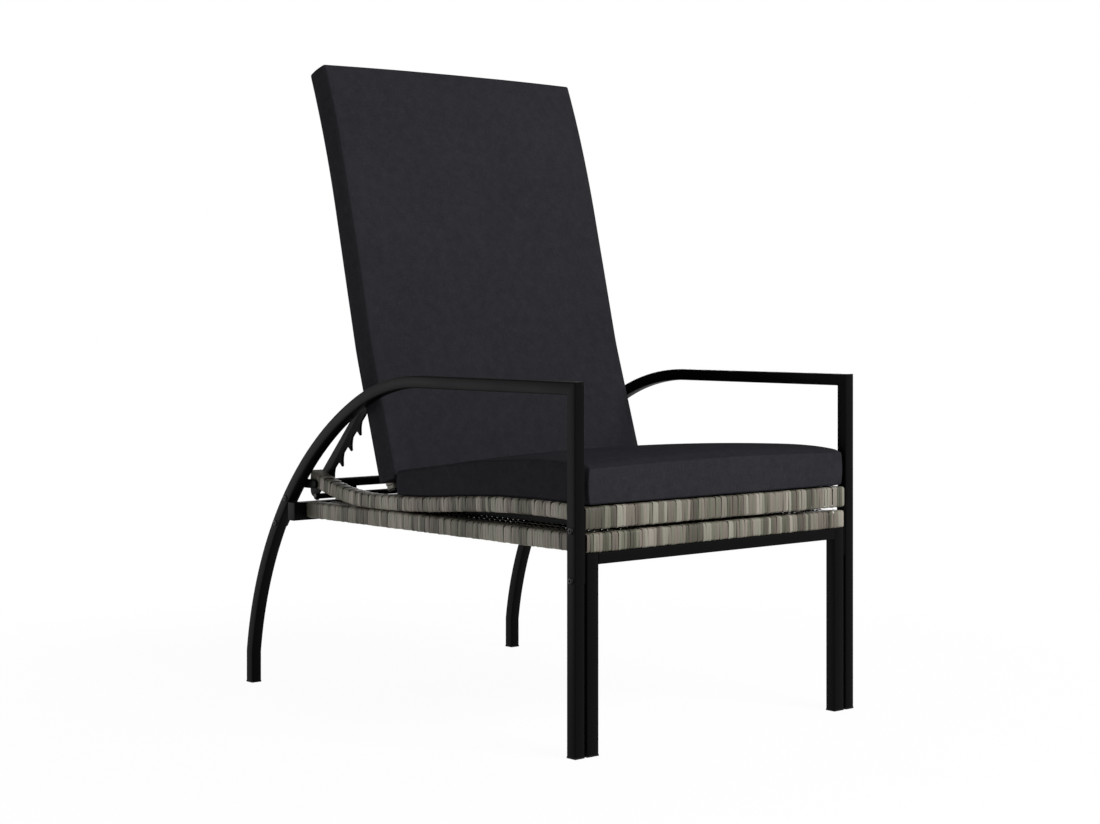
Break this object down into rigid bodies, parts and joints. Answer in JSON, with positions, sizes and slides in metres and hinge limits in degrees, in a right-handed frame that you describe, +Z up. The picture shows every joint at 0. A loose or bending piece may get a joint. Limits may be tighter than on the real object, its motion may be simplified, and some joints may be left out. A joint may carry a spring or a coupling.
{
  "type": "chaise lounge",
  "caption": "Reclining patio lounge chair with arched tube side frames, woven rails, toothed back struts, box cushions and a slide-out footrest.",
  "frame": {"origin": "on the floor, below the middle of the chair with its back upright and its footrest pushed in", "axes": "+X to the sitter's left, +Y to the back of the chair, +Z up"},
  "size_m": [0.6454, 0.9066, 1.119],
  "materials": {
    "black_tube": "satin black powder coat on steel tube and flat bar",
    "woven_strand": "flat woven synthetic strand, mixed grey and taupe",
    "cushion_fabric": "matt woven outdoor fabric, anthracite",
    "foot_plastic": "matt black plastic caps",
    "glide_nylon": "smooth black nylon",
    "fixings": "black coated steel bolts, nuts and washers"
  },
  "bodies": {
    "chair_frame": {"left_side_frame": "black_tube", "right_side_frame": "black_tube", "side_frame_caps": "foot_plastic", "frame_bolts": "fixings", "seat_front_rail": "black_tube", "seat_front_wrap": "woven_strand", "left_seat_rail": "black_tube", "right_seat_rail": "black_tube", "left_seat_wrap": "woven_strand", "right_seat_wrap": "woven_strand", "seat_cross_tubes": "black_tube", "hinge_cross_tube": "black_tube", "deck_rear_bar": "black_tube", "ratchet_bar": "black_tube", "seat_deck": "woven_strand", "seat_cushion": "cushion_fabric", "left_front_plate": "black_tube", "right_front_plate": "black_tube", "left_rear_plate": "black_tube", "right_rear_plate": "black_tube", "left_hinge_ear": "black_tube", "right_hinge_ear": "black_tube", "left_slide_track": "black_tube", "right_slide_track": "black_tube", "track_hangers": "black_tube", "hinge_bolts": "fixings", "hinge_washers": "fixings"},
    "backrest": {"left_back_tube": "black_tube", "right_back_tube": "black_tube", "left_back_wrap": "woven_strand", "right_back_wrap": "woven_strand", "back_top_tube": "black_tube", "back_top_wrap": "woven_strand", "back_low_slat": "black_tube", "back_middle_slat": "black_tube", "back_panel": "woven_strand", "back_cushion": "cushion_fabric", "strut_bolts": "fixings", "strut_washers": "fixings"},
    "struts": {"left_toothed_strut": "black_tube", "right_toothed_strut": "black_tube", "strut_tie_rod": "black_tube", "tie_rod_bolts": "fixings"},
    "footrest": {"left_footrest_leg": "black_tube", "right_footrest_leg": "black_tube", "footrest_leg_caps": "foot_plastic", "footrest_front_bar": "black_tube", "footrest_front_rail": "black_tube", "footrest_front_wrap": "woven_strand", "left_footrest_rail": "black_tube", "right_footrest_rail": "black_tube", "left_footrest_wrap": "woven_strand", "right_footrest_wrap": "woven_strand", "footrest_cross_tubes": "black_tube", "footrest_deck": "woven_strand", "footrest_stop_bar": "black_tube", "stop_bar_caps": "foot_plastic", "left_slide_glide": "glide_nylon", "right_slide_glide": "glide_nylon"}
  },
  "joints": [
    {"name": "backrest_recline", "type": "hinge", "parent": "chair_frame", "child": "backrest", "pos_m": [0, 0.0967, 0.378], "axis": [-1, 0, 0], "range_deg": [0, 44.6]},
    {"name": "strut_swing", "type": "hinge", "parent": "backrest", "child": "struts", "pos_m": [0, 0.1457, 0.5344], "axis": [1, 0, 0], "range_deg": [0, 76]},
    {"name": "footrest_slide", "type": "slide", "parent": "chair_frame", "child": "footrest", "axis": [0, -1, 0], "range_m": [0, 0.68]}
  ],
  "couplings": [
    {"joint": "strut_swing", "follows": "backrest_recline", "ratio": 1.7}
  ]
}
